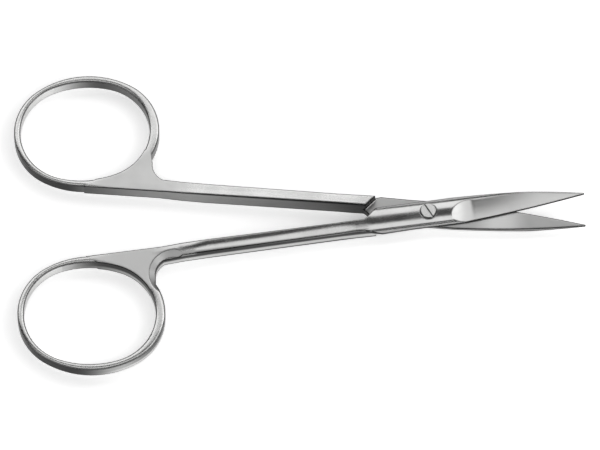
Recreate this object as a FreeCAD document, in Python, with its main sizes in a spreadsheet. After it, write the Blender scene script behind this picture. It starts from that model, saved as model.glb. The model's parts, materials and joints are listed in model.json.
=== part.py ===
import FreeCAD, Part
import math
import os

import Sketcher
from FreeCAD import Placement, Rotation, Vector

# Iris scissors, straight pattern: two forged halves crossing at a countersunk slotted screw.
# Each half is drawn in its own closed frame. The pivot is the origin, the blade points along +X,
# z = 0 is the parting plane, +Z is the rounded outer side and -Y is the side that opens away.
# The bottom half is the same forging turned over about X.

SIZES = {
    # Opening of the pair, as it lies
    "rest_angle": 12.0,
    "lap_gap": 0.04,
    # Finger rings: four-arc ovals, the thumb's a little larger, and the rim set toward the joint
    "ring_back": 67.28,
    "ring_out": 12.2,
    "ring_bore_width": 20.9,
    "ring_bore_stretch": 4.1,
    "ring_bore_flatness": 5.5,
    "thumb_extra_width": 0.24,
    "thumb_shift": 0.1,
    "ring_lean_angle": -8.6,
    "ring_end_width": 1.55,
    "ring_side_width": 1.27,
    "ring_rim_flatness": 2.85,
    "ring_rim_shift": 0.3,
    "ring_rim_drop": 0.02,
    "ring_height": 3.3,
    "ring_round": 0.42,
    # Web between ring and shank
    "web_corner_radius": 3.6,
    "web_corner_back": 50.1,
    "web_corner_out": 6.2,
    "web_wall_out": 0.42,
    "web_bevel_width": 1.3,
    "web_bevel_depth": 0.8,
    # Shank: flat on the parting side, crowned outside, its outer wall rolled over into the crown
    "shank_ring_back": 43.0,
    "shank_joint_back": 17.5,
    "shank_end_back": 8.0,
    "shank_middle_gap": 0.16,
    "shank_inner_taper": 0.2,
    "shank_outer_taper": 0.1,
    "shank_ring_width": 2.17,
    "shank_joint_width": 1.87,
    "shank_ring_flat_height": 1.95,
    "shank_joint_flat_height": 2.15,
    "shank_crown_height": 1.68,
    "shank_crown_radius": 2.2,
    "shank_roll_height": 1.2,
    "shank_roll_width": 0.42,
    "shank_roll_drop": 0.75,
    "shank_roll_radius": 0.9,
    # Screw plate and its shoulder
    "shoulder_back": 12.4,
    "shoulder_angle": 49.0,
    "shoulder_foot_radius": 0.28,
    "shoulder_clearance": 0.24,
    "plate_angle": 45.0,
    "plate_flare_width": 1.7,
    "plate_flare_radius": 4.5,
    "plate_inner": 2.28,
    "plate_outer": 2.98,
    "plate_corner": 0.9,
    "plate_start_back": 9.3,
    "plate_crest": 1.72,
    "plate_crown_radius": 4.2,
    "plate_crown_angle": 0.6,
    "plate_roll_width": 0.4,
    "plate_roll_drop": 0.45,
    "plate_roll_radius": 0.9,
    "plate_facet_width": 0.55,
    "plate_bevel_width": 0.45,
    "plate_bevel_drop": 0.3,
    # Blade
    "blade_length": 30.35,
    "blade_back": 2.55,
    "blade_back_start": 5.0,
    "blade_back_radius": 190.0,
    "blade_edge_start": 6.0,
    "blade_heel_out": 2.81,
    "blade_edge_radius": 320.0,
    "blade_edge_width": 0.38,
    "blade_tip_width": 0.2,
    "face_start": 8.8,
    "face_angle": 15.0,
    "face_crease_angle": 7.9,
    "scoop_length": 6.5,
    "scoop_rise": 2.05,
    "scoop_radius": 8.0,
    # Pivot screw
    "screw_thread": 1.9,
    "screw_thread_fit": 0.02,
    "screw_running_fit": 0.03,
    "screw_head": 3.05,
    "screw_head_top": 1.84,
    "screw_head_rim": 0.38,
    "screw_head_edge": 0.14,
    "screw_recess_gap": 0.05,
    "screw_end": 1.7,
    "slot_width": 0.36,
    "slot_depth": 0.42,
    "slot_angle": -66.0,
}

class Size:
    """A length or angle that knows the sheet expression it comes from."""

    def __init__(self, text, value):
        self.text = text
        self.value = value

    def _with(self, other, sign, value):
        return Size(f"({self.text} {sign} {as_size(other).text})", value)

    def __add__(self, other):
        return self._with(other, "+", self.value + as_size(other).value)

    def __sub__(self, other):
        return self._with(other, "-", self.value - as_size(other).value)

    def __mul__(self, other):
        return self._with(other, "*", self.value * as_size(other).value)

    def __truediv__(self, other):
        return self._with(other, "/", self.value / as_size(other).value)

    def __neg__(self):
        return Size(f"(0 - {self.text})", -self.value)


def as_size(number):
    """Return number as a Size."""
    if isinstance(number, Size):
        return number
    return Size(repr(float(number)), float(number))


def sine(angle):
    """Sine of an angle in degrees."""
    return Size(f"sin({angle.text})", math.sin(math.radians(angle.value)))


def cosine(angle):
    """Cosine of an angle in degrees."""
    return Size(f"cos({angle.text})", math.cos(math.radians(angle.value)))


def tangent(angle):
    """Tangent of an angle in degrees."""
    return Size(f"tan({angle.text})", math.tan(math.radians(angle.value)))


def root(number):
    """Square root."""
    return Size(f"sqrt({number.text})", math.sqrt(number.value))


def make_sheet(doc):
    """Write every driving size into one sheet and return the sizes by name."""
    sheet = doc.addObject("Spreadsheet::Sheet", "dims")
    sizes = {}
    for row, (name, value) in enumerate(SIZES.items(), start=1):
        sheet.set(f"A{row}", name)
        sheet.set(f"B{row}", str(value))
        sheet.setAlias(f"B{row}", name)
        sizes[name] = Size(f"dims.{name}", value)
    doc.recompute()
    return sizes


def plane_of(body, role):
    """Return one of the body's own origin planes."""
    return next(item for item in body.Origin.OriginFeatures if item.Role == role)


def new_sketch(body, name, role, offset=(0, 0, 0), turn=None):
    """Attach an empty sketch to an origin plane, moved by offset and turned about its own x axis."""
    sketch = body.newObject("Sketcher::SketchObject", name)
    sketch.AttachmentSupport = [(plane_of(body, role), "")]
    sketch.MapMode = "FlatFace"
    turn = as_size(0 if turn is None else turn)
    base = [as_size(part) for part in offset]
    sketch.AttachmentOffset = Placement(
        Vector(*[part.value for part in base]), Rotation(Vector(1, 0, 0), turn.value))
    for axis, part in zip("xyz", base):
        sketch.setExpression(f"AttachmentOffset.Base.{axis}", part.text)
    return sketch


def bind(sketch, constraint, size):
    """Add a constraint whose value follows the sheet."""
    index = sketch.addConstraint(constraint)
    sketch.setExpression(f"Constraints[{index}]", size.text)


def arc_between(start, end, radius):
    """Return the circular arc from start to end: a positive radius bulges to the right of the way."""
    chord = end - start
    left = Vector(-chord.y, chord.x, 0).normalize()
    side = 1 if radius > 0 else -1
    reach = math.sqrt(radius * radius - chord.Length ** 2 / 4)
    centre = (start + end) * 0.5 + left * (side * reach)
    first, last = (start, end) if side > 0 else (end, start)
    angles = [math.atan2(p.y - centre.y, p.x - centre.x) for p in (first, last)]
    circle = Part.Circle(centre, Vector(0, 0, 1), abs(radius))
    return Part.ArcOfCircle(circle, angles[0], angles[1]), (1, 2) if side > 0 else (2, 1)


def draw_profile(sketch, corners):
    """Draw a closed profile. Each corner is (x, y) or (x, y, radius of the arc that leaves it)."""
    points = [(as_size(corner[0]), as_size(corner[1])) for corner in corners]
    places = [Vector(x.value, y.value, 0) for x, y in points]
    ends = []
    for index, corner in enumerate(corners):
        start, end = places[index], places[(index + 1) % len(corners)]
        if len(corner) == 3:
            radius = as_size(corner[2])
            curve, order = arc_between(start, end, radius.value)
            edge = sketch.addGeometry(curve, False)
            bind(sketch, Sketcher.Constraint("Radius", edge, abs(radius.value)),
                 radius if radius.value > 0 else -radius)
        else:
            order = (1, 2)
            edge = sketch.addGeometry(Part.LineSegment(start, end), False)
        ends.append((edge, order))
    for index, (x, y) in enumerate(points):
        edge, order = ends[index]
        before, before_order = ends[index - 1]
        sketch.addConstraint(Sketcher.Constraint("Coincident", before, before_order[1], edge, order[0]))
        bind(sketch, Sketcher.Constraint("DistanceX", edge, order[0], x.value), x)
        bind(sketch, Sketcher.Constraint("DistanceY", edge, order[0], y.value), y)


def draw_oval(sketch, centre, length, width, side_radius, lean):
    """Draw an oval of four tangent arcs, its long axis leaning from the sketch's x axis."""
    long_half, short_half = length / 2, width / 2
    end_radius = (side_radius * width - long_half * long_half - short_half * short_half) / (
        (side_radius - long_half) * 2)
    reach = side_radius - end_radius
    join_x = side_radius * (long_half - end_radius) / reach
    join_y = side_radius * (side_radius - short_half) / reach - (side_radius - short_half)
    corners = []
    for sign_x, sign_y, radius in ((1, -1, end_radius), (1, 1, side_radius), (-1, 1, end_radius),
                                   (-1, -1, side_radius)):
        along, across = join_x * sign_x, join_y * sign_y
        corners.append((centre[0] + along * cosine(lean) - across * sine(lean),
                        centre[1] + along * sine(lean) + across * cosine(lean), radius))
    draw_profile(sketch, corners)


def sweep_sketch(body, kind, sketch, length, side="One side", reverse=False):
    """Pad or pocket a sketch by a length."""
    feature = body.newObject(f"PartDesign::{kind}", f"{sketch.Name}_{kind.lower()}")
    feature.Profile = sketch
    feature.Type = "Length"
    feature.SideType = side
    feature.Reversed = reverse
    feature.setExpression("Length", as_size(length).text)
    return feature


def spin_sketch(body, kind, sketch):
    """Turn a sketch about the body's Z axis into a Revolution or a Groove."""
    feature = body.newObject(f"PartDesign::{kind}", f"{sketch.Name}_{kind.lower()}")
    feature.Profile = sketch
    feature.ReferenceAxis = (sketch, ["V_Axis"])
    feature.Angle = 360
    return feature


class Ring:
    """Places and sizes of one finger ring, in its half's closed frame."""

    def __init__(self, size, thumb):
        share = 1 if thumb else 0
        self.height = size["ring_height"]
        self.lean = size["ring_lean_angle"]
        self.bore_width = size["ring_bore_width"] + size["thumb_extra_width"] * share
        self.bore_length = self.bore_width + size["ring_bore_stretch"]
        self.bore_side = self.bore_length / 2 + size["ring_bore_flatness"]
        self.bore = (size["thumb_shift"] * share - size["ring_back"], -size["ring_out"])
        self.rim_length = self.bore_length + size["ring_end_width"] * 2
        self.rim_width = self.bore_width + size["ring_side_width"] * 2
        self.rim_side = self.rim_length / 2 + size["ring_rim_flatness"]
        self.rim = (self.bore[0] + size["ring_rim_shift"], self.bore[1] - size["ring_rim_drop"])

    def draw_bore(self, sketch):
        """Draw the oval that a finger goes through."""
        draw_oval(sketch, self.bore, self.bore_length, self.bore_width, self.bore_side, self.lean)

    def draw_rim(self, sketch):
        """Draw the oval round the outside."""
        draw_oval(sketch, self.rim, self.rim_length, self.rim_width, self.rim_side, self.lean)

    def at(self, along, across):
        """Return the point at these shares of the bore's half sizes from its middle."""
        return self.bore[0] + self.bore_length / 2 * along, self.bore[1] + self.bore_width / 2 * across


def add_ring(body, size, ring):
    """Finger ring: an oval rim with rounded corners."""
    plan = new_sketch(body, "ring_plan", "XY_Plane")
    ring.draw_rim(plan)
    ring.draw_bore(plan)
    rim = sweep_sketch(body, "Pad", plan, ring.height, "Symmetric")
    rounding = body.newObject("PartDesign::Fillet", "ring_rounding")
    rounding.Base = (rim, [""])
    rounding.UseAllEdges = True
    rounding.setExpression("Radius", size["ring_round"].text)


def add_web(body, size, ring):
    """Web: the flat gusset that carries the ring on the shank, with a concave corner."""
    radius = size["web_corner_radius"]
    centre_x, centre_y = -size["web_corner_back"], -size["web_corner_out"]
    far_x = centre_x + radius * 0.15
    wall = -size["web_wall_out"]
    ring_top_x, _ = ring.at(0.06, 1.0)
    plan = new_sketch(body, "web_plan", "XY_Plane")
    draw_profile(plan, [
        (far_x, centre_y + radius * 1.12),
        (far_x, wall),
        (ring_top_x, wall),
        ring.at(0.3, 0.9),
        ring.at(0.6, 0.45),
        ring.at(1.04, 0.27),
        (centre_x - radius, centre_y, -radius),
        (centre_x, centre_y + radius),
    ])
    sweep_sketch(body, "Pad", plan, ring.height, "Symmetric")
    bore = new_sketch(body, "finger_bore", "XY_Plane")
    ring.draw_bore(bore)
    sweep_sketch(body, "Pocket", bore, ring.height * 2, "Symmetric")


def cutting_edge_slope(size):
    """Return the sine, cosine and tangent of the cutting edge's lean from X."""
    run = size["blade_length"] - size["blade_edge_start"]
    rise = size["blade_heel_out"]
    reach = root(run * run + rise * rise)
    return rise / reach, run / reach, rise / run


def add_blade(body, size):
    """Screw plate and blade: a plan pad, crowned along its length, with the blade's face ground in."""
    angle = size["plate_angle"]
    inner = size["plate_inner"]
    outer = size["plate_outer"]
    foot = -size["shoulder_back"] + size["shoulder_clearance"]
    corner_run = size["plate_corner"] * tangent(angle / 2)
    corner_x = foot + inner / tangent(angle)
    flare = size["plate_flare_width"]
    flare_x = foot - size["plate_flare_width"] * 0.65
    rise_x = flare_x + flare * cosine(angle) * 1.3
    rise_y = (rise_x - foot) * tangent(angle)
    tip = size["blade_length"]
    half_gap = size["lap_gap"] / 2
    plan = new_sketch(body, "blade_plan", "XY_Plane", (0, 0, half_gap))
    draw_profile(plan, [
        (flare_x, -size["shank_middle_gap"] * 2.5),
        (foot - outer * 0.6, -outer * 0.62),
        (-size["plate_start_back"], -outer),
        (-size["screw_head"], -size["blade_heel_out"]),
        (size["blade_edge_start"], -size["blade_heel_out"], size["blade_edge_radius"]),
        (tip, 0.0),
        (tip, size["blade_tip_width"], size["blade_back_radius"]),
        (size["blade_back_start"], size["blade_back"]),
        (corner_x + corner_run, inner, size["plate_corner"]),
        (corner_x - corner_run * cosine(angle), inner - corner_run * sine(angle)),
        (rise_x, rise_y, -size["plate_flare_radius"]),
    ])
    sweep_sketch(body, "Pad", plan, size["plate_crest"] * 2)

    crown = size["plate_crown_radius"]
    centre_z = size["plate_crest"] - crown
    facet_y = -(outer - size["plate_facet_width"])
    roll_y = facet_y + size["plate_roll_width"]
    roll_z = centre_z + root(crown * crown - roll_y * roll_y)
    facet_z = roll_z - size["plate_roll_drop"]
    below = -size["plate_crest"] * 0.3
    outer_run = size["plate_facet_width"] * (facet_z - below) / facet_z
    bevel_y = inner - size["plate_bevel_width"]
    bevel_z = centre_z + root(crown * crown - bevel_y * bevel_y)
    bevel_slope = size["plate_bevel_drop"] / size["plate_bevel_width"]
    outside = new_sketch(body, "plate_crown", "YZ_Plane", turn=size["plate_crown_angle"])
    draw_profile(outside, [
        (facet_y - outer_run, below),
        (-outer * 2, below),
        (-outer * 2, outer * 2),
        (outer * 2, outer * 2),
        (outer * 2, bevel_z - (outer * 2 - bevel_y) * bevel_slope),
        (bevel_y, bevel_z, crown),
        (roll_y, roll_z, size["plate_roll_radius"]),
        (facet_y, facet_z),
    ])
    sweep_sketch(body, "Pocket", outside, tip * 2.5, "Symmetric")

    sine_edge, cosine_edge, tangent_edge = cutting_edge_slope(size)
    tilt, lean = size["face_angle"], size["face_crease_angle"]
    edge_y = (size["face_start"] - size["blade_edge_start"]) * tangent_edge - size["blade_heel_out"]
    lean_to_edge = cosine_edge * cosine(lean) - sine_edge * sine(lean)
    face_fall = tip * sine_edge * tangent(tilt) / lean_to_edge
    face = new_sketch(body, "blade_face", "XZ_Plane",
                      (size["face_start"], size["blade_edge_width"] + half_gap, -edge_y))
    draw_profile(face, [
        (0.0, 0.0),
        (tip, -face_fall),
        (tip, outer * 2),
        (-size["scoop_length"], outer * 2),
        (-size["scoop_length"], size["scoop_rise"], size["scoop_radius"]),
    ])
    grind = sweep_sketch(body, "Pocket", face, tip, "Symmetric")
    grind.UseCustomVector = True
    direction = (sine(lean) * cosine(tilt), cosine(lean) * cosine(tilt), sine(tilt))
    grind.Direction = Vector(*[part.value for part in direction])
    for axis, part in zip("xyz", direction):
        grind.setExpression(f"Direction.{axis}", part.text)


def shank_section(body, size, name, station):
    """One cross-section of the shank: flat below, crowned above, the outer wall rolled over."""
    back, inner, width, flat, crown_height, roll_height, crown, taper = station
    outer = inner - width
    sketch = new_sketch(body, f"shank_{name}", "YZ_Plane", (0, 0, -back))
    draw_profile(sketch, [
        (outer, -flat),
        (inner, -flat),
        (inner + size["shank_inner_taper"] * taper, crown_height, crown),
        (outer - size["shank_outer_taper"] + size["shank_roll_width"], roll_height, size["shank_roll_radius"]),
        (outer - size["shank_outer_taper"], roll_height - size["shank_roll_drop"]),
    ])
    return sketch


def add_shank(body, size):
    """Shank: a loft from inside the web to inside the screw plate."""
    inner = -size["shank_middle_gap"] / 2 - size["shank_inner_taper"]
    ring_width, joint_width = size["shank_ring_width"], size["shank_joint_width"]
    ring_flat, joint_flat = size["shank_ring_flat_height"], size["shank_joint_flat_height"]
    top, roll, crown = size["shank_crown_height"], size["shank_roll_height"], size["shank_crown_radius"]
    web = size["ring_height"] / 2
    plate, plate_crown = size["plate_crest"], size["plate_crown_radius"]
    ring_back, joint_back, end_back = size["shank_ring_back"], size["shank_joint_back"], size["shank_end_back"]
    neck = size["web_corner_back"] - ring_back
    stations = {
        "in_web": (ring_back + neck * 1.5, inner * 1.9, ring_width * 1.15, web * 0.97, web * 0.97, web * 0.93,
                   crown * 3, 0.2),
        "at_neck": (ring_back + neck * 0.65, inner * 1.15, ring_width * 1.05, web * 0.45 + ring_flat * 0.55,
                    web * 0.99, web * 0.4 + roll * 0.6, crown * 1.3, 0.8),
        "at_ring": (ring_back, inner, ring_width, ring_flat, top, roll, crown, 1),
        "at_middle": (ring_back / 2 + joint_back / 2, inner, ring_width * 0.45 + joint_width * 0.55,
                      ring_flat * 0.4 + joint_flat * 0.6, top, roll, crown, 1),
        "at_joint": (joint_back, inner, joint_width, joint_flat, top * 1.04, roll * 0.98, crown * 1.1, 1),
        "at_plate": (joint_back * 0.82, inner, joint_width * 1.02, joint_flat * 0.97, plate * 1.1, plate * 0.87,
                     plate_crown * 0.9, 1),
        "in_plate": (end_back, inner, joint_width * 1.1, joint_flat * 0.93, plate * 1.0, plate * 0.7,
                     plate_crown * 0.9, 1),
    }
    sections = [shank_section(body, size, name, [as_size(part) if index < 7 else part
                                                 for index, part in enumerate(station)])
                for name, station in stations.items()]
    loft = body.newObject("PartDesign::AdditiveLoft", "shank_loft")
    loft.Ruled = True
    loft.Profile = sections[0]
    loft.Sections = [(section, [""]) for section in sections[1:]]


def cut_lap(body, size):
    """Lap: past the diagonal shoulder, all below the parting plane is cut away."""
    foot = size["shoulder_foot_radius"]
    top = size["lap_gap"] / 2
    deep = -size["shank_joint_flat_height"] * 2
    far = size["blade_length"] * 2
    profile = new_sketch(body, "lap_profile", "XZ_Plane", (-size["shoulder_back"], top, 0))
    draw_profile(profile, [
        (0.0, deep),
        (far, deep),
        (far, 0.0),
        (foot, 0.0, foot),
        (0.0, -foot),
    ])
    lap = sweep_sketch(body, "Pocket", profile, size["blade_length"], "Symmetric")
    lap.UseCustomVector = True
    direction = (cosine(size["shoulder_angle"]), -sine(size["shoulder_angle"]))
    lap.Direction = Vector(direction[0].value, direction[1].value, 0)
    for axis, part in zip("xy", direction):
        lap.setExpression(f"Direction.{axis}", part.text)


def bevel_corner(body, size):
    """Bevel round the concave corner, on the rounded side."""
    cone = body.newObject("PartDesign::SubtractiveCone", "corner_bevel")
    cone.AttachmentSupport = [(plane_of(body, "XY_Plane"), "")]
    cone.MapMode = "FlatFace"
    low = size["ring_height"] / 2 - size["web_bevel_depth"]
    base = (-size["web_corner_back"], -size["web_corner_out"], low)
    cone.AttachmentOffset = Placement(Vector(*[part.value for part in base]), Rotation())
    for axis, part in zip("xyz", base):
        cone.setExpression(f"AttachmentOffset.Base.{axis}", part.text)
    cone.setExpression("Radius1", size["web_corner_radius"].text)
    cone.setExpression("Radius2", (size["web_corner_radius"] + size["web_bevel_width"] * 2).text)
    cone.setExpression("Height", (size["web_bevel_depth"] * 2).text)


def screw_levels(size):
    """Return the screw's head radius, shank radius and the heights of its cone."""
    head = size["screw_head"] / 2
    thread = size["screw_thread"] / 2
    cone_top = size["screw_head_top"] - size["screw_head_rim"]
    return head, thread, cone_top, cone_top - (head - thread)


def bore_top_half(body, size):
    """Running bore and countersink of the half that turns on the screw."""
    head, thread, cone_top, cone_foot = screw_levels(size)
    bore = thread + size["screw_running_fit"]
    recess = head + size["screw_recess_gap"]
    seat = size["screw_running_fit"] * 1.4
    far = size["screw_head"]
    profile = new_sketch(body, "screw_seat", "XZ_Plane")
    draw_profile(profile, [
        (0.0, -far),
        (bore, -far),
        (bore, cone_foot - seat),
        (recess, cone_foot - seat + (recess - bore)),
        (recess, far),
        (0.0, far),
    ])
    spin_sketch(body, "Groove", profile)


def bore_bottom_half(body, size):
    """Threaded hole of the half that holds the screw."""
    radius = size["screw_thread"] / 2 + size["screw_thread_fit"]
    far = size["screw_head"]
    profile = new_sketch(body, "thread_hole", "XZ_Plane")
    draw_profile(profile, [(0.0, -far), (radius, -far), (radius, far), (0.0, far)])
    spin_sketch(body, "Groove", profile)


def make_half(doc, name, size, ring, bore):
    """One forged half with its ring, web, shank, plate and blade."""
    body = doc.addObject("PartDesign::Body", name)
    body.Label = name
    add_ring(body, size, ring)
    add_web(body, size, ring)
    add_blade(body, size)
    add_shank(body, size)
    cut_lap(body, size)
    bevel_corner(body, size)
    bore(body, size)
    return body


def make_screw(doc, size):
    """Pivot screw with a countersunk slotted head, its end dressed flush."""
    body = doc.addObject("PartDesign::Body", "pivot_screw")
    body.Label = "pivot_screw"
    head, thread, cone_top, cone_foot = screw_levels(size)
    top, edge, end = size["screw_head_top"], size["screw_head_edge"], -size["screw_end"]
    profile = new_sketch(body, "screw_profile", "XZ_Plane")
    draw_profile(profile, [
        (0.0, end),
        (thread - edge, end),
        (thread, end + edge),
        (thread, cone_foot),
        (head, cone_top),
        (head, top - edge),
        (head - edge, top),
        (0.0, top),
    ])
    spin_sketch(body, "Revolution", profile)
    half_width = size["slot_width"] / 2
    slot = new_sketch(body, "screw_slot", "XY_Plane", (0, 0, top - size["slot_depth"]))
    draw_profile(slot, [
        (-head * 2, -half_width), (head * 2, -half_width), (head * 2, half_width), (-head * 2, half_width)])
    sweep_sketch(body, "Pocket", slot, top, reverse=True)
    return body


def check(doc, bodies):
    """Stop if any object failed or any piece isn't one valid solid."""
    for item in doc.Objects:
        if "Invalid" in item.State or "Error" in item.State:
            raise RuntimeError(f"{item.Name} failed: {item.State}")
    for body in bodies:
        shape = body.Shape
        if shape.isNull() or not shape.isValid() or len(shape.Solids) != 1:
            raise RuntimeError(f"{body.Label}: {len(shape.Solids)} solids, valid {shape.isValid()}")


def place(bodies, size):
    """Open the pair and set the origin under the middle of its box."""
    top, bottom, screw = bodies
    half = size["rest_angle"].value / 2
    up = Vector(0, 0, 1)
    top.Placement = Placement(Vector(), Rotation(up, half))
    bottom.Placement = Placement(Vector(), Rotation(up, -half) * Rotation(Vector(1, 0, 0), 180))
    screw.Placement = Placement(Vector(), Rotation(up, half + size["slot_angle"].value))
    box = FreeCAD.BoundBox()
    for body in bodies:
        box.add(body.Shape.optimalBoundingBox(False))
    shift = Vector(-box.Center.x, -box.Center.y, -box.ZMin)
    for body in bodies:
        body.Placement = Placement(shift, Rotation()) * body.Placement
    return shift, box


def main():
    """Build the three pieces, check them and write their files."""
    os.makedirs("parts", exist_ok=True)
    doc = FreeCAD.newDocument("iris_scissors")
    size = make_sheet(doc)
    bodies = [
        make_half(doc, "top_half", size, Ring(size, thumb=True), bore_top_half),
        make_half(doc, "bottom_half", size, Ring(size, thumb=False), bore_bottom_half),
        make_screw(doc, size),
    ]
    doc.recompute()
    check(doc, bodies)
    pivot, box = place(bodies, size)
    doc.recompute()
    check(doc, bodies)
    for body in bodies:
        body.Shape.exportStep(f"parts/{body.Label}.step")
        print(f"{body.Label}: volume {body.Shape.Volume:.2f} mm3")
    print(f"pivot at {pivot.x:.4f}, {pivot.y:.4f}, {pivot.z:.4f}")
    print(f"box {box.XLength:.3f} x {box.YLength:.3f} x {box.ZLength:.3f} mm")


main()
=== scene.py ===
import json
import logging
import math
from dataclasses import dataclass
from enum import Enum

import bpy
from mathutils import Matrix, Vector

# Iris scissors lying open on a pale table: steel finishes for the forged halves and their screw,
# a studio with three soft banks of light, and the camera of the photograph. Metres, in the frame
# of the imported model.

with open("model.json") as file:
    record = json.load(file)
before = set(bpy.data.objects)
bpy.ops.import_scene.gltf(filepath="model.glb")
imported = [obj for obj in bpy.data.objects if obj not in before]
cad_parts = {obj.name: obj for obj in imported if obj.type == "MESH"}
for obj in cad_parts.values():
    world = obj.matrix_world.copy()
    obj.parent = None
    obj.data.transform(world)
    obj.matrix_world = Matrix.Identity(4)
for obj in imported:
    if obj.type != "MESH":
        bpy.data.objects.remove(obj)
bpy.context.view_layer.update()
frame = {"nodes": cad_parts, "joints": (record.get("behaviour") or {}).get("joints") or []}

LOG = logging.getLogger("iris_scissors")
MM = 0.001
WHITE = (1.0, 1.0, 1.0, 1.0)
BEVEL_SAMPLES = 8

Tree = bpy.types.NodeTree
Socket = bpy.types.NodeSocket


class Half(Enum):
    """The two forged halves: CAD node, lean of the long axis from +X in degrees, side up."""

    TOP = ("top_half", 6.0, 1.0)
    BOTTOM = ("bottom_half", -6.0, -1.0)

    @property
    def node(self) -> str:
        """Name of the half's CAD node."""
        return self.value[0]

    @property
    def lean(self) -> float:
        """Lean of the half about Z, in degrees."""
        return self.value[1]

    @property
    def turn(self) -> float:
        """1 where the rounded side lies up, and -1 where the half is turned over."""
        return self.value[2]


class Side(Enum):
    """Where a bank of soft light hangs, as its turn about Z from the back of the table."""

    BACK = 0.0
    FRONT = 180.0
    RIGHT = -90.0


class Mixed(Enum):
    """What a Mix node mixes: Blender's data type, its two inputs and its output by index."""

    NUMBER = ("FLOAT", 2, 3, 0)
    VECTOR = ("VECTOR", 4, 5, 1)


def add_node(tree: Tree, kind: str, **settings: object) -> bpy.types.Node:
    """Add a node and set its properties.

    Args:
        tree: The node tree that gets the node.
        kind: Blender's name of the node type, without its ShaderNode prefix.
        **settings: Properties of the node by name.

    Returns:
        The new node.
    """
    name = kind if kind.startswith("NodeGroup") else f"ShaderNode{kind}"
    node = tree.nodes.new(name)
    for key, value in settings.items():
        setattr(node, key, value)
    return node


def feed(tree: Tree, socket: Socket, source: object) -> None:
    """Give a socket its input, a link where the source is an output and a value otherwise."""
    if isinstance(source, Socket):
        tree.links.new(source, socket)
    else:
        socket.default_value = source


def maths(tree: Tree, operation: str, *sources: object, kind: str = "Math") -> Socket:
    """Add a Math node, or a Vector Math node where kind says so.

    Args:
        tree: The node tree that gets the node.
        operation: Blender's name of the operation.
        *sources: Its inputs in order, outputs of other nodes or values.
        kind: Math or VectorMath.

    Returns:
        The node's output.
    """
    node = add_node(tree, kind, operation=operation)
    for socket, source in zip(node.inputs, sources):
        feed(tree, socket, source)
    return node.outputs[0]


def all_of(tree: Tree, *masks: Socket) -> Socket:
    """Multiply masks together."""
    result = masks[0]
    for mask in masks[1:]:
        result = maths(tree, "MULTIPLY", result, mask)
    return result


def blend(tree: Tree, share: object, base: object, other: object,
          mixed: Mixed = Mixed.NUMBER) -> Socket:
    """Mix two numbers or vectors by a mask.

    Args:
        tree: The node tree that gets the node.
        share: The mask, 1 for the other one.
        base: The one outside the mask.
        other: The one inside it.
        mixed: What the two are.

    Returns:
        The mixed number or vector.
    """
    data_type, first, second, result = mixed.value
    mix = add_node(tree, "Mix", data_type=data_type)
    for index, source in ((0, share), (first, base), (second, other)):
        feed(tree, mix.inputs[index], source)
    return mix.outputs[result]


def split(tree: Tree, vector: Socket) -> tuple[Socket, ...]:
    """Take a vector apart into its three numbers."""
    node = add_node(tree, "SeparateXYZ")
    feed(tree, node.inputs[0], vector)
    return tuple(node.outputs)


def join(tree: Tree, *parts: object) -> Socket:
    """Put three numbers together into a vector."""
    node = add_node(tree, "CombineXYZ")
    for socket, part in zip(node.inputs, parts):
        feed(tree, socket, part)
    return node.outputs[0]


def spin(tree: Tree, vector: Socket, angle: Socket) -> Socket:
    """Turn a vector about Z by an angle in radians."""
    node = add_node(tree, "VectorRotate", rotation_type="Z_AXIS")
    feed(tree, node.inputs["Vector"], vector)
    feed(tree, node.inputs["Angle"], angle)
    return node.outputs[0]


def noise(tree: Tree, place: Socket, scale: object, detail: float) -> Socket:
    """Add a Noise Texture node at a place and return its value."""
    node = add_node(tree, "TexNoise")
    for name, source in (("Vector", place), ("Scale", scale), ("Detail", detail)):
        feed(tree, node.inputs[name], source)
    return node.outputs[0]


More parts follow.
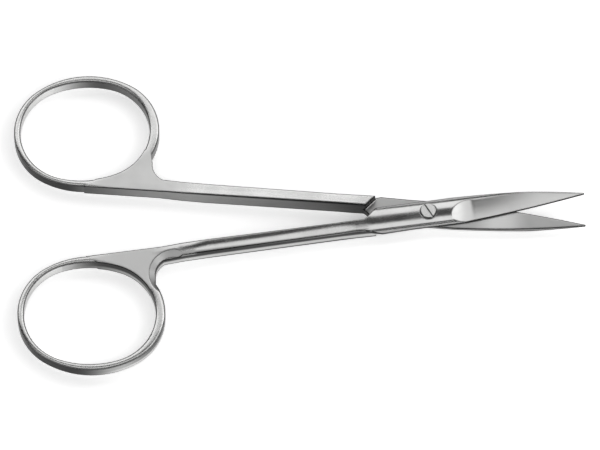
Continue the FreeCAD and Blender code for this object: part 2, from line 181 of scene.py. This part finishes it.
class Ramp(Enum):
    """The value where a ramp starts, and the value where it has run its course.

    The places are millimetres in a half's closed frame: along from the pivot to the tips, out
    from its middle to the side that opens away, and up from the parting plane to the rounded
    side. What the surface faces is a part of its normal, in the same frame unless said otherwise.
    """

    # Places along the half, from the ring to the tips.
    RING_WALL_END = (-70.0, -52.0)
    BOW_END = (-68.0, -61.0)
    WEB_END = (-52.0, -43.0)
    # The bevel in the web's corner, which gets painted shade.
    CORNER_START = (-52.0, -50.0)
    CORNER_END = (-46.0, -45.0)
    CROWN_START = (-47.0, -43.0)
    # Painted shade on the shank's inner wall deepens over this span toward the joint.
    SHANK_WALL_SHADE = (-46.0, -14.0)
    JOINT_TONE = (-13.5, -11.0)
    JOINT_TILT = (-13.5, -10.5)
    BLADE_WALL = (-8.0, 0.0)
    GROUND_START = (4.0, 4.4)
    SEAT_END = (6.0, 8.0)
    SCOOP_START = (6.9, 7.1)
    SCOOP_END = (9.4, 9.5)
    RAMP_END = (7.9, 8.9)
    # Span of the painted glint on the blade's parting side.
    GLINT_START = (8.0, 13.0)
    GLINT_END = (14.5, 20.0)
    HOLLOW_ALONG = (10.0, 22.0)

    # Places across it.
    BOW_OUT = (6.5, 10.5)
    SUMMIT = (0.0, 1.5)
    PLATE_START = (-1.6, -1.2)
    PLATE_END = (0.2, 0.8)
    # Where painted shade darkens the shank's outer arris.
    ARRIS = (1.75, 2.4)
    FACET_TILT = (2.38, 2.46)
    # Where the painted highlight on the plate's facet starts.
    FACET_TONE = (2.46, 2.56)
    HOLLOW_ACROSS = (-1.2, 2.0)

    # Heights.
    # The walls' foot gets painted shade, and the outer wall gets painted shade toward the rounded
    # side.
    FOOT = (-1.9, -1.3)
    FLAT_HEIGHT = (-1.2, -1.0)
    OUTER_WALL = (-0.6, 0.1)
    PARTING_HEIGHT = (-0.4, -0.3)
    GROUND_HEIGHT = (0.02, 0.06)

    # What the surface faces. The ramp of the ring walls' painted shade and light goes by the part's
    # own X, not by the closed frame.
    FACES_DOWN = (-0.97, -0.99)
    FACES_OUT = (-0.1, 0.1)
    # Ring walls: painted shade where they face left, painted light where they face right.
    WALL_SHADE_TURN = (-0.35, 0.42)
    STEEP = (0.15, 0.45)
    CROWN_UP = (0.25, 0.4)
    GROUND_UP = (0.55, 0.6)
    GROUND_FORE = (0.021, 0.027)
    SCOOP_UP = (0.953, 0.957)
    CORNER_LEAN = (0.97, 0.9)
    # Where painted shade darkens the ring's brow.
    BROW_LEAN = (0.98, 0.8)

    # Plain numbers: noise, how much the edges change the normal's height for their painted shade,
    # and a whole mask.
    STREAK = (0.35, 0.65)
    CLOUD = (0.35, 0.7)
    # Painted shade on the edges, where the rounding changes the normal's height this much.
    SHADED_EDGE = (0.02, 0.1)
    WHOLE = (0.0, 1.0)

    def rise(self, tree: Tree, value: Socket, low: float = 0.0, high: float = 1.0,
             even: bool = False) -> Socket:
        """Go from low before the ramp to high after it.

        Args:
            tree: The node tree that gets the node.
            value: The number that is held against the ramp.
            low: The result up to its start.
            high: The result from its end.
            even: Whether it runs straight from one to the other instead of smoothly.

        Returns:
            The node's output.
        """
        start, end = self.value
        kind = "LINEAR" if even else "SMOOTHSTEP"
        node = add_node(tree, "MapRange", interpolation_type=kind)
        for name, source in (("Value", value), ("From Min", start), ("From Max", end),
                             ("To Min", low), ("To Max", high)):
            feed(tree, node.inputs[name], source)
        return node.outputs["Result"]

    def fall(self, tree: Tree, value: Socket) -> Socket:
        """Go from 1 before the ramp to 0 after it."""
        return self.rise(tree, value, 1.0, 0.0)


class Effect:
    """A shader node group with named sockets, built once and placed in each material."""

    def __init__(self, name: str, inputs: dict[str, float], outputs: tuple[str, ...],
                 normals: tuple[str, ...] = ()) -> None:
        """Start the group.

        Args:
            name: The group's name.
            inputs: Its number inputs with their usual values.
            outputs: Its number outputs.
            normals: Its vector outputs.
        """
        self.tree = bpy.data.node_groups.new(name, "ShaderNodeTree")
        for label, value in inputs.items():
            socket = self.tree.interface.new_socket(
                name=label, in_out="INPUT", socket_type="NodeSocketFloat")
            socket.default_value = value
        kinds = [(label, "NodeSocketFloat") for label in outputs]
        kinds += [(label, "NodeSocketVector") for label in normals]
        for label, kind in kinds:
            self.tree.interface.new_socket(name=label, in_out="OUTPUT", socket_type=kind)
        self.given = add_node(self.tree, "NodeGroupInput").outputs
        self.result = add_node(self.tree, "NodeGroupOutput").inputs

    def put(self, tree: Tree, **values: object) -> bpy.types.Node:
        """Place the group in a material.

        Args:
            tree: The material's node tree.
            **values: Inputs by name, an underscore standing for each space.

        Returns:
            The placed group node.
        """
        node = add_node(tree, "Group", node_tree=self.tree)
        for key, value in values.items():
            feed(tree, node.inputs[key.replace("_", " ")], value)
        return node


def build_grain() -> Effect:
    """Build the brushed grain: fine lines that run along a half's long axis.

    Returns:
        The group, with Height for a bump and Streak for roughness.
    """
    effect = Effect("brushed_grain", {"Lean": 0.0, "Lines": 9000.0, "Length": 220.0},
                    ("Height", "Streak"))
    tree, given = effect.tree, effect.given
    back = maths(tree, "MULTIPLY", given["Lean"], -1.0)
    along, across, up = split(tree, spin(tree, add_node(tree, "TexCoord").outputs["Object"], back))
    place = join(tree, maths(tree, "MULTIPLY", along, given["Length"]),
                 maths(tree, "MULTIPLY", across, given["Lines"]),
                 maths(tree, "MULTIPLY", up, given["Lines"]))
    coarse = noise(tree, place, scale=0.23, detail=2.0)
    feed(tree, effect.result["Height"], noise(tree, place, scale=1.0, detail=3.0))
    feed(tree, effect.result["Streak"], Ramp.STREAK.rise(tree, coarse))
    return effect


def build_haze() -> Effect:
    """Build the faint cloudiness that handling and wiping leave on satin steel.

    Returns:
        The group, with Haze from 0 to 1.
    """
    effect = Effect("handling_haze", {"Scale": 140.0}, ("Haze",))
    tree = effect.tree
    place = add_node(tree, "TexCoord").outputs["Object"]
    cloud = noise(tree, place, scale=effect.given["Scale"], detail=4.0)
    feed(tree, effect.result["Haze"], Ramp.CLOUD.rise(tree, cloud))
    return effect


def build_edge_rounding_and_shade() -> Effect:
    """Build edges rounded as tumbling and polishing leave them, and painted shade that makes them
    darker than the flats.

    Returns:
        The group, with Normal for the bump and Edge as the mask of painted shade on the edges. Round
        is the share of a wider rounding, for a section that is rounded all the way across.
    """
    effect = Effect("edge_rounding_and_shade", {"Radius": 0.3 * MM, "Round": 0.0, "Round Radius": 0.8 * MM},
                    ("Edge",), ("Normal",))
    tree = effect.tree
    bevels = []
    for radius in ("Radius", "Round Radius"):
        bevel = add_node(tree, "Bevel", samples=BEVEL_SAMPLES)
        feed(tree, bevel.inputs["Radius"], effect.given[radius])
        bevels.append(bevel.outputs[0])
    bevelled = split(tree, bevels[0])[2]
    plain = split(tree, add_node(tree, "NewGeometry").outputs["Normal"])[2]
    # The edge mask for painted shade: how far the rounding turns the normal.
    change = maths(tree, "ABSOLUTE", maths(tree, "SUBTRACT", bevelled, plain))
    feed(tree, effect.result["Edge"], Ramp.SHADED_EDGE.rise(tree, change))
    feed(tree, effect.result["Normal"], blend(tree, effect.given["Round"], *bevels, Mixed.VECTOR))
    return effect


class HalfPlace:
    """A shaded point of a forged half: where it lies, what it faces and the zones it is in.

    The numbers are in the half's closed frame, as Ramp has them, and the zones are masks.

    Attributes:
        tree: The node tree that all of it is in.
        lean: The half's lean about Z, in radians.
        turn: 1, or -1 where the half is turned over.
        along: Millimetres from the pivot toward the tips.
        out: Millimetres from the middle to the side that opens away.
        up: Millimetres from the parting plane to the rounded side.
        fore: How much the surface faces the tips.
        outward: How much it faces the side that opens away.
        upward: How much it faces the rounded side.
        right: How much it faces the part's own X, the photograph's right.
        ground: The blade's ground bevel, with the ramp that leads into it.
        ramp: That ramp alone.
        face: The bevel beyond it.
        crown: The rounded side without the bevel.
        parting: The side that the other half slides on.
        flat: The shank's flat side.
        web: The ring and its web.
        corner: The bevel in the web's corner.
        bow: The finger ring's round bow.
        steep: The side walls.
    """

    def __init__(self, effect: Effect) -> None:
        """Find the point's place and its zones.

        Args:
            effect: The group to work in, with the inputs Lean and Turn.
        """
        tree = effect.tree
        self.tree = tree
        self.lean, self.turn = effect.given["Lean"], effect.given["Turn"]
        joint = next(item for item in frame["joints"] if item["name"] == "pivot")
        source = add_node(tree, "TexCoord").outputs
        offset = maths(tree, "SUBTRACT", source["Object"], joint["pos_m"], kind="VectorMath")
        self.along, self.out, self.up = self.closed(offset, 1 / MM)
        self.fore, self.outward, self.upward = self.closed(source["Normal"], 1.0)
        self.right = split(tree, source["Normal"])[0]
        self.ground = self.find_ground()
        self.ramp = all_of(tree, self.ground, Ramp.RAMP_END.fall(tree, self.along))
        self.face = all_of(tree, self.ground, Ramp.RAMP_END.rise(tree, self.along))
        self.crown = all_of(tree, Ramp.CROWN_UP.rise(tree, self.upward),
                            maths(tree, "SUBTRACT", 1.0, self.ground))
        faces_down = Ramp.FACES_DOWN.rise(tree, self.upward)
        self.parting = all_of(tree, faces_down, Ramp.PARTING_HEIGHT.rise(tree, self.up))
        self.flat = all_of(tree, faces_down, Ramp.FLAT_HEIGHT.fall(tree, self.up))
        self.web = Ramp.WEB_END.fall(tree, self.along)
        self.corner = all_of(tree, Ramp.CORNER_LEAN.rise(tree, self.upward), self.crown,
                             Ramp.CORNER_START.rise(tree, self.along),
                             Ramp.CORNER_END.fall(tree, self.along))
        self.bow = maths(tree, "MAXIMUM", Ramp.BOW_END.fall(tree, self.along),
                         Ramp.BOW_OUT.rise(tree, self.out))
        self.steep = Ramp.STEEP.fall(tree, maths(tree, "ABSOLUTE", self.upward))

    def closed(self, vector: Socket, scale: float) -> tuple[Socket, ...]:
        """Turn a vector into the half's closed frame.

        Args:
            vector: The vector in object space.
            scale: What its parts are multiplied by.

        Returns:
            Its parts along, out and up.
        """
        tree = self.tree
        back = maths(tree, "MULTIPLY", self.lean, -1.0)
        forth, left, high = split(tree, spin(tree, vector, back))
        sign = maths(tree, "MULTIPLY", self.turn, scale)
        return (maths(tree, "MULTIPLY", forth, scale),
                maths(tree, "MULTIPLY", maths(tree, "MULTIPLY", left, sign), -1.0),
                maths(tree, "MULTIPLY", high, sign))

    def find_ground(self) -> Socket:
        """Find what the wheel has ground: what faces the tips, and the scoop, which may not."""
        tree = self.tree
        scoop = all_of(tree, Ramp.SCOOP_START.rise(tree, self.along),
                       Ramp.SCOOP_END.fall(tree, self.along), Ramp.SCOOP_UP.rise(tree, self.upward))
        ground = maths(tree, "MAXIMUM", scoop, Ramp.GROUND_FORE.rise(tree, self.fore))
        return all_of(tree, ground, Ramp.GROUND_START.rise(tree, self.along),
                      Ramp.GROUND_UP.rise(tree, self.upward), Ramp.GROUND_HEIGHT.rise(tree, self.up))


@dataclass(frozen=True)
class HalfTones:
    """Greys of a forged half's zones, linear, as the steel's reflection has them, many of them
    painted shade, painted highlights and a painted glint.

    Attributes:
        polish: Tone of the polished crown.
        crown_share: What is left of it on the shank's crown.
        arris_shade_share: What painted shade leaves of it at the shank's outer arris.
        facet_highlight_share: What a painted highlight raises it to on the facet of the screw plate.
        flat: Tone of the shank's flat side.
        web: Tone of the ring and its web.
        brow_shade_share: What painted shade leaves of it where the ring rounds over to its walls.
        corner: Tone of the bevel in the web's corner, darkened as painted shade.
        lap: Tone of the ground seat round the screw.
        face: Tone of the ground bevel on the blade.
        inner_low: Tone of the blade's parting side at its heel and tip.
        inner_painted_glint: Tone at its brightest, a painted glint.
        wall_painted_shade: Tone of a ring's side wall that faces left, toward -X, a painted shade.
        wall_painted_light: Tone of one that faces right, a painted reflection of the light.
        wall_power: Power by which the tone goes from the one to the other.
        wall_inner: Tone of the side wall next to the other half, at the ring and on the blade,
            painted shade.
        wall_joint_shade: Tone of that wall next to the joint, deeper painted shade.
        wall_outer: Tone of the other side wall, toward the flat side, a painted reflection brighter
            than the steel.
        strip_shade_share: What painted shade leaves of it toward the rounded side.
        foot_shade_share: What painted shade leaves of both walls at their foot, along the flat
            side's edge.
    """

    polish: float = 0.58
    crown_share: float = 0.93
    arris_shade_share: float = 0.12
    facet_highlight_share: float = 1.45
    flat: float = 0.70
    web: float = 0.64
    brow_shade_share: float = 0.4
    corner: float = 0.30
    lap: float = 0.44
    face: float = 0.56
    inner_low: float = 0.43
    inner_painted_glint: float = 0.66
    wall_painted_shade: float = 0.05
    wall_painted_light: float = 0.86
    wall_power: float = 2.0
    wall_inner: float = 0.31
    wall_joint_shade: float = 0.09
    wall_outer: float = 0.74
    strip_shade_share: float = 0.1
    foot_shade_share: float = 0.05

    def find(self, place: HalfPlace) -> Socket:
        """Find the tone at a place.

        Args:
            place: The shaded point.

        Returns:
            Its tone.
        """
        tree = place.tree
        # Painted shade where the ring rounds over to its walls.
        brow = Ramp.BROW_LEAN.rise(tree, maths(tree, "ABSOLUTE", place.upward),
                                   self.web, self.web * self.brow_shade_share)
        tone = self.on_crown(place)
        # The web corner's grey is painted shade, and so are the side walls' greys.
        for zone, other in ((place.flat, self.flat), (place.web, brow), (place.corner, self.corner),
                            (place.ground, self.face), (place.parting, self.on_parting(place)),
                            (place.steep, self.on_wall(place))):
            tone = blend(tree, zone, tone, other)
        return tone

    def on_crown(self, place: HalfPlace) -> Socket:
        """Find the tone of the crown, with painted shade at the arris and a painted highlight on the
        facet.
        """
        tree = place.tree
        # Painted shade at the arris.
        shank = Ramp.ARRIS.rise(tree, place.out, self.crown_share, self.arris_shade_share)
        # Painted highlight on the plate's facet.
        plate = Ramp.FACET_TONE.rise(tree, place.out, 1.0, self.facet_highlight_share)
        share = blend(tree, Ramp.JOINT_TONE.rise(tree, place.along), shank, plate)
        return maths(tree, "MULTIPLY", share, self.polish)

    def on_parting(self, place: HalfPlace) -> Socket:
        """Find the tone of the parting side, from the seat at the screw to the blade's painted
        glint.
        """
        tree = place.tree
        # Painted glint on the blade's parting side.
        glint = all_of(tree, Ramp.GLINT_START.rise(tree, place.along),
                       Ramp.GLINT_END.fall(tree, place.along))
        blade = blend(tree, glint, self.inner_low, self.inner_painted_glint)
        return blend(tree, Ramp.SEAT_END.rise(tree, place.along), self.lap, blade)

    def on_wall(self, place: HalfPlace) -> Socket:
        """Find the painted shade and light of the side walls, first of the ring and then of the
        shank and blade.
        """
        tree = place.tree
        # Ring walls: painted shade facing left, painted light facing right.
        turned = maths(tree, "POWER", Ramp.WALL_SHADE_TURN.rise(tree, place.right), self.wall_power)
        ring = blend(tree, turned, self.wall_painted_shade, self.wall_painted_light)
        # Shank and blade walls: painted shade, deepest next to the joint.
        inner = Ramp.SHANK_WALL_SHADE.rise(tree, place.along, self.wall_inner, self.wall_joint_shade, even=True)
        inner = blend(tree, Ramp.BLADE_WALL.rise(tree, place.along), inner, self.wall_inner)
        # Outer wall: painted reflection, with painted shade toward the rounded side.
        outer = Ramp.OUTER_WALL.rise(tree, place.up, self.wall_outer,
                                     self.strip_shade_share * self.wall_outer)
        shank = blend(tree, Ramp.FACES_OUT.rise(tree, place.outward), inner, outer)
        # Painted shade at the walls' foot.
        foot = Ramp.FOOT.rise(tree, place.up, self.foot_shade_share)
        shank = maths(tree, "MULTIPLY", shank, foot)
        return blend(tree, Ramp.RING_WALL_END.rise(tree, place.along), ring, shank)


@dataclass(frozen=True)
class HalfTilts:
    """How much more a forged half leans out than the plain solid does, as slopes.

    The shank's crown keeps its summit at the inner edge, the plate's facet is rolled over, and
    the blade's bevel is hollow ground, more so toward its tip and its cutting edge.

    Attributes:
        shank: Slope that is added at the shank's inner edge.
        plate: Slope that is added over the middle of the screw plate.
        facet: Slope that is added on its facet.
        ramp: How much the ramp into the blade's bevel rolls over to the outer side.
        heel: Slope that is added on the bevel's heel.
        tip: How much more than at the heel is added at its tip.
        across: What is added toward its cutting edge.
        tip_share: Share of that which is left at the tip.
    """

    shank: float = 0.21
    plate: float = 0.07
    facet: float = -0.27
    ramp: float = 0.22
    heel: float = -0.07
    tip: float = 0.2
    across: float = 0.2
    tip_share: float = 0.3

    def find(self, place: HalfPlace) -> Socket:
        """Find what is added to the normal at a place.

        Args:
            place: The shaded point.

        Returns:
            A vector in object space.
        """
        tree = place.tree
        slope = maths(tree, "MULTIPLY_ADD", self.on_bevel(place), place.face, self.on_crown(place))
        slope = maths(tree, "MULTIPLY_ADD", place.ramp, self.ramp, slope)
        leftward = maths(tree, "MULTIPLY", maths(tree, "MULTIPLY", slope, -1.0), place.turn)
        return spin(tree, join(tree, 0.0, leftward, 0.0), place.lean)

    def on_crown(self, place: HalfPlace) -> Socket:
        """Find the slope that is added to the crown of the shank and of the screw plate."""
        tree = place.tree
        shank = Ramp.SUMMIT.rise(tree, place.out, self.shank, 0.0, even=True)
        plate = all_of(tree, Ramp.PLATE_START.rise(tree, place.out),
                       Ramp.PLATE_END.rise(tree, place.out, self.plate, 0.0))
        plate = maths(tree, "ADD", plate, Ramp.FACET_TILT.rise(tree, place.out, 0.0, self.facet))
        slope = blend(tree, Ramp.JOINT_TILT.rise(tree, place.along), shank, plate)
        return all_of(tree, slope, place.crown, Ramp.CROWN_START.rise(tree, place.along))

    def on_bevel(self, place: HalfPlace) -> Socket:
        """Find the slope that the hollow grinding adds to the bevel."""
        tree = place.tree
        reach = Ramp.HOLLOW_ALONG.rise(tree, place.along, even=True)
        across = Ramp.HOLLOW_ACROSS.rise(tree, place.out, 0.0, self.across, even=True)
        kept = Ramp.WHOLE.rise(tree, reach, 1.0, self.tip_share, even=True)
        hollow = maths(tree, "MULTIPLY_ADD", reach, self.tip, self.heel)
        return maths(tree, "ADD", hollow, maths(tree, "MULTIPLY", across, kept))


@dataclass(frozen=True)
class HalfMap:
    """Where a forged half is polished, ground, flat or a side wall, from its own shape.

    Attributes:
        tones: Greys of its zones, with painted shade and highlights.
        tilts: How much more it leans than the plain solid does.
        smooth: Roughness of the polished crown and of the bow.
        satin: Roughness of the web.
        matt: Roughness of what is ground.
    """

    tones: HalfTones = HalfTones()
    tilts: HalfTilts = HalfTilts()
    smooth: float = 0.19
    satin: float = 0.30
    matt: float = 0.32

    def build(self) -> Effect:
        """Build the group.

        Returns:
            The group, with Tone, which holds painted shade and highlights, and Rough for the steel,
            Tilt, in object space, for its normal, and Bow as the mask of the finger ring's round
            bow.
        """
        effect = Effect("half_map", {"Lean": 0.0, "Turn": 1.0}, ("Tone", "Rough", "Bow"), ("Tilt",))
        place = HalfPlace(effect)
        for name, source in (("Tone", self.tones.find(place)), ("Rough", self.find_rough(place)),
                             ("Bow", place.bow), ("Tilt", self.tilts.find(place))):
            feed(effect.tree, effect.result[name], source)
        return effect

    def find_rough(self, place: HalfPlace) -> Socket:
        """Find the roughness at a place."""
        tree = place.tree
        rough = blend(tree, place.web, self.smooth, self.satin)
        rough = blend(tree, place.bow, rough, self.smooth)
        matt = maths(tree, "MAXIMUM", place.parting, place.ground)
        return blend(tree, matt, rough, self.matt)


@dataclass(frozen=True)
class SteelFinish:
    """Stainless steel with a brushed or satin surface.

    Attributes:
        name: The material's name.
        tone: Grey of its reflection, linear, where no map gives it.
        roughness: Roughness in the clean state, where no map gives it.
        tint: Share of the tone that each colour channel gets.
        haze_rough: What handling adds to the roughness.
        haze_share: What handling leaves of the tone.
        streak_rough: What the grain's streaks add to the roughness.
        lines: Grain lines per metre, across.
        length: Grain changes per metre, along.
        grain_depth: Depth of the grain's lines.
        edge_radius: How far the edges are rounded.
        edge_painted_shade: How much painted shade darkens the edges.
        grazing: Share of the reflection that is left at a grazing angle.
    """

    name: str
    tone: float = 0.58
    roughness: float = 0.19
    tint: tuple[float, float, float] = (1.0, 1.0, 0.992)
    haze_rough: float = 0.05
    haze_share: float = 0.94
    streak_rough: float = 0.04
    lines: float = 9000.0
    length: float = 220.0
    grain_depth: float = 0.001 * MM
    edge_radius: float = 0.42 * MM
    edge_painted_shade: float = 0.95
    grazing: float = 0.6

    def material(self, lean: float, effects: dict[str, Effect],
                 half: Half | None = None) -> bpy.types.Material:
        """Make the finish for a piece whose grain leans by an angle.

        Args:
            lean: Angle of the grain about Z, in degrees.
            effects: The shared node groups by name.
            half: The forged half that it is for, where it is for one.

        Returns:
            The material.
        """
        material = bpy.data.materials.new(self.name)
        material.use_nodes = True
        tree = material.node_tree
        steel = tree.nodes["Principled BSDF"]
        steel.inputs["Metallic"].default_value = 1.0
        steel.inputs["Specular Tint"].default_value = (self.grazing,) * 3 + (1.0,)
        angle = math.radians(lean)
        lines = effects["grain"].put(tree, Lean=angle, Lines=self.lines, Length=self.length)
        haze = effects["haze"].put(tree).outputs["Haze"]
        edges = effects["edges"].put(tree, Radius=self.edge_radius)
        tone, rough, normal = self.tone, self.roughness, edges.outputs["Normal"]
        if half:
            zones = effects["map"].put(tree, Lean=angle, Turn=half.turn)
            feed(tree, edges.inputs["Round"], zones.outputs["Bow"])
            tone, rough = zones.outputs["Tone"], zones.outputs["Rough"]
            normal = self.lean_out(tree, normal, zones.outputs["Tilt"])
        # Painted shade: the edge mask darkens the tone.
        kept = maths(tree, "MULTIPLY_ADD", edges.outputs["Edge"], -self.edge_painted_shade, 1.0)
        tone = maths(tree, "MULTIPLY", tone, kept)
        tone = maths(tree, "MULTIPLY", tone, Ramp.WHOLE.rise(tree, haze, 1.0, self.haze_share))
        rough = maths(tree, "MULTIPLY_ADD", haze, self.haze_rough, rough)
        rough = maths(tree, "MULTIPLY_ADD", lines.outputs["Streak"], self.streak_rough, rough)
        bump = add_node(tree, "Bump")
        for name, source in (("Height", lines.outputs["Height"]), ("Strength", 1.0),
                             ("Distance", self.grain_depth), ("Normal", normal)):
            feed(tree, bump.inputs[name], source)
        for name, source in (("Base Color", self.colour(tree, tone)), ("Roughness", rough),
                             ("Normal", bump.outputs[0])):
            feed(tree, steel.inputs[name], source)
        return material

    def colour(self, tree: Tree, tone: Socket) -> Socket:
        """Make the steel's colour from its tone."""
        node = add_node(tree, "CombineColor")
        for channel, share in zip(node.inputs, self.tint):
            feed(tree, channel, maths(tree, "MULTIPLY", tone, share))
        return node.outputs[0]

    @staticmethod
    def lean_out(tree: Tree, normal: Socket, tilt: Socket) -> Socket:
        """Lean a normal by a tilt that is given in object space.

        Args:
            tree: The material's node tree.
            normal: The normal in world space.
            tilt: What is added to it, in object space.

        Returns:
            The new normal.
        """
        carried = add_node(tree, "VectorTransform", vector_type="VECTOR",
                           convert_from="OBJECT", convert_to="WORLD")
        feed(tree, carried.inputs[0], tilt)
        total = maths(tree, "ADD", normal, carried.outputs[0], kind="VectorMath")
        return maths(tree, "NORMALIZE", total, kind="VectorMath")


def dress(node: bpy.types.Object, material: bpy.types.Material) -> None:
    """Give every face of a CAD node one material."""
    node.data.materials.clear()
    node.data.materials.append(material)
    LOG.info("%s is dressed in %s", node.name, material.name)


@dataclass(frozen=True)
class ForgedHalf:
    """One forged half: blade, screw plate, shank and finger ring in one piece.

    Attributes:
        half: Which of the two it is.
        finish: Its steel.
    """

    half: Half
    finish: SteelFinish

    def dress(self, effects: dict[str, Effect]) -> None:
        """Give the half its steel, with the grain along its own axis."""
        steel = self.finish.material(self.half.lean, effects, self.half)
        dress(frame["nodes"][self.half.node], steel)


@dataclass(frozen=True)
class PivotScrew:
    """The countersunk slotted screw.

    Attributes:
        finish: Its steel.
        lean: Angle of the turning marks' grain about Z, in degrees.
    """

    finish: SteelFinish
    lean: float = 24.0

    def dress(self, effects: dict[str, Effect]) -> None:
        """Give the screw its steel."""
        dress(frame["nodes"]["pivot_screw"], self.finish.material(self.lean, effects))


@dataclass(frozen=True)
class LightBank:
    """A soft panel, tilted at the scissors.

    Attributes:
        side: Which side of the table it hangs on.
        tilt: Angle of its middle from the zenith, in degrees.
        spread: Angle that it fills across, in degrees.
        level: Its radiance.
        length: Its long side.
        shift: How far its middle is moved along its long side.
        distance: From the scissors to its plane.
    """

    side: Side
    tilt: float
    spread: float
    level: float
    length: float
    shift: float = 0.0
    distance: float = 0.7

    def hang(self) -> None:
        """Make the lamp."""
        width = 2 * self.distance * math.tan(math.radians(self.spread / 2))
        lamp = bpy.data.lights.new(f"bank_{self.side.name.lower()}", "AREA")
        lamp.shape = "RECTANGLE"
        lamp.size = self.length
        lamp.size_y = width
        lamp.energy = self.level * math.pi * self.length * width
        panel = bpy.data.objects.new(lamp.name, lamp)
        turned = Matrix.Rotation(math.radians(self.side.value), 4, "Z")
        tilted = Matrix.Rotation(-math.radians(self.tilt), 4, "X")
        moved = Matrix.Translation((self.shift, 0, self.distance))
        panel.matrix_world = turned @ tilted @ moved
        panel.visible_camera = False
        bpy.context.scene.collection.objects.link(panel)
        LOG.info("%s hangs at %.0f degrees", panel.name, self.tilt)


@dataclass(frozen=True)
class Studio:
    """The pale table, the room round it and the banks of light.

    Attributes:
        banks: The soft panels.
        table: Half width of the table top.
        paint: Grey of its paint.
        paint_rough: Roughness of its paint.
        room: Grey level of the room beyond the table and the banks.
        glow: What the table adds for the camera and in mirrors and glass, so that it shows white.
    """

    banks: tuple[LightBank, ...] = (
        LightBank(Side.BACK, tilt=43, spread=44, level=1.3, length=2.2, shift=0.2),
        LightBank(Side.FRONT, tilt=36, spread=44, level=1.2, length=2.2, shift=-0.2),
        LightBank(Side.RIGHT, tilt=48, spread=34, level=1.3, length=0.7),
    )
    table: float = 3.0
    paint: float = 0.93
    paint_rough: float = 0.9
    room: float = 0.05
    glow: float = 0.4

    def build(self) -> None:
        """Make the table, the room and the lamps."""
        self.lay_table()
        self.darken_room()
        for bank in self.banks:
            bank.hang()

    def lay_table(self) -> None:
        """Make the white table top, which keeps the scissors' shadow."""
        half = self.table
        mesh = bpy.data.meshes.new("table_top")
        corners = [(-half, -half, 0), (half, -half, 0), (half, half, 0), (-half, half, 0)]
        mesh.from_pydata(corners, [], [(0, 1, 2, 3)])
        top = bpy.data.objects.new("table_top", mesh)
        bpy.context.scene.collection.objects.link(top)
        mesh.materials.append(self.table_paint())

    def table_paint(self) -> bpy.types.Material:
        """Make the matt white paint of the table."""
        material = bpy.data.materials.new("table_white")
        material.use_nodes = True
        tree = material.node_tree
        paint = tree.nodes["Principled BSDF"]
        paint.inputs["Base Color"].default_value = (self.paint,) * 3 + (1.0,)
        paint.inputs["Roughness"].default_value = self.paint_rough
        paint.inputs["Specular IOR Level"].default_value = 0.0
        paint.inputs["Emission Color"].default_value = WHITE
        path = add_node(tree, "LightPath").outputs
        seen = maths(tree, "MAXIMUM", path["Is Camera Ray"], path["Is Glossy Ray"])
        seen = maths(tree, "MAXIMUM", seen, path["Is Transmission Ray"])
        feed(tree, paint.inputs["Emission Strength"], maths(tree, "MULTIPLY", seen, self.glow))
        return material

    def darken_room(self) -> None:
        """Make the room dim, so that the steel shows the banks and the table."""
        world = bpy.data.worlds.new("room")
        world.use_nodes = True
        bpy.context.scene.world = world
        sky = world.node_tree.nodes["Background"]
        sky.inputs["Color"].default_value = WHITE
        sky.inputs["Strength"].default_value = self.room


@dataclass(frozen=True)
class PhotoCamera:
    """The photograph's long lens, above the table and a little to its front.

    Attributes:
        tilt: Angle of the lens from straight down, in degrees.
        turn: How far the scissors turn in the picture, in degrees.
        aim: The point in the middle of the picture.
        width: What the picture spans there.
        distance: From the lens to that point.
        sensor: Width of the sensor, in millimetres.
        clip: Nearest and farthest distance that is drawn.
    """

    tilt: float = 24.0
    turn: float = 1.87
    aim: tuple[float, float, float] = (-0.12 * MM, -1.0 * MM, 1.32 * MM)
    width: float = 115.5 * MM
    distance: float = 1.5
    sensor: float = 36.0
    clip: tuple[float, float] = (0.01, 20.0)

    def set_up(self) -> None:
        """Make the camera and hand it to the scene."""
        lens = bpy.data.cameras.new("photo_camera")
        lens.sensor_width = self.sensor
        lens.lens = self.sensor * self.distance / self.width
        lens.clip_start, lens.clip_end = self.clip
        camera = bpy.data.objects.new("photo_camera", lens)
        turned = Matrix.Rotation(-math.radians(self.turn), 4, "Z")
        tilted = Matrix.Rotation(math.radians(self.tilt), 4, "X")
        pose = turned @ tilted
        back = pose.to_3x3() @ Vector((0, 0, self.distance))
        camera.matrix_world = Matrix.Translation(Vector(self.aim) + back) @ pose
        bpy.context.scene.collection.objects.link(camera)
        bpy.context.scene.camera = camera


def main() -> None:
    """Dress the scissors, light the table and set the camera."""
    logging.basicConfig(level=logging.INFO)
    bpy.context.scene.view_settings.view_transform = "Standard"
    effects = {"grain": build_grain(), "haze": build_haze(), "map": HalfMap().build(),
               "edges": build_edge_rounding_and_shade()}
    satin = SteelFinish("satin_steel")
    for half in Half:
        ForgedHalf(half, satin).dress(effects)
    PivotScrew(SteelFinish("screw_steel", roughness=0.14, edge_radius=0.08 * MM)).dress(effects)
    Studio().build()
    PhotoCamera().set_up()


if __name__ == "__main__":
    main()
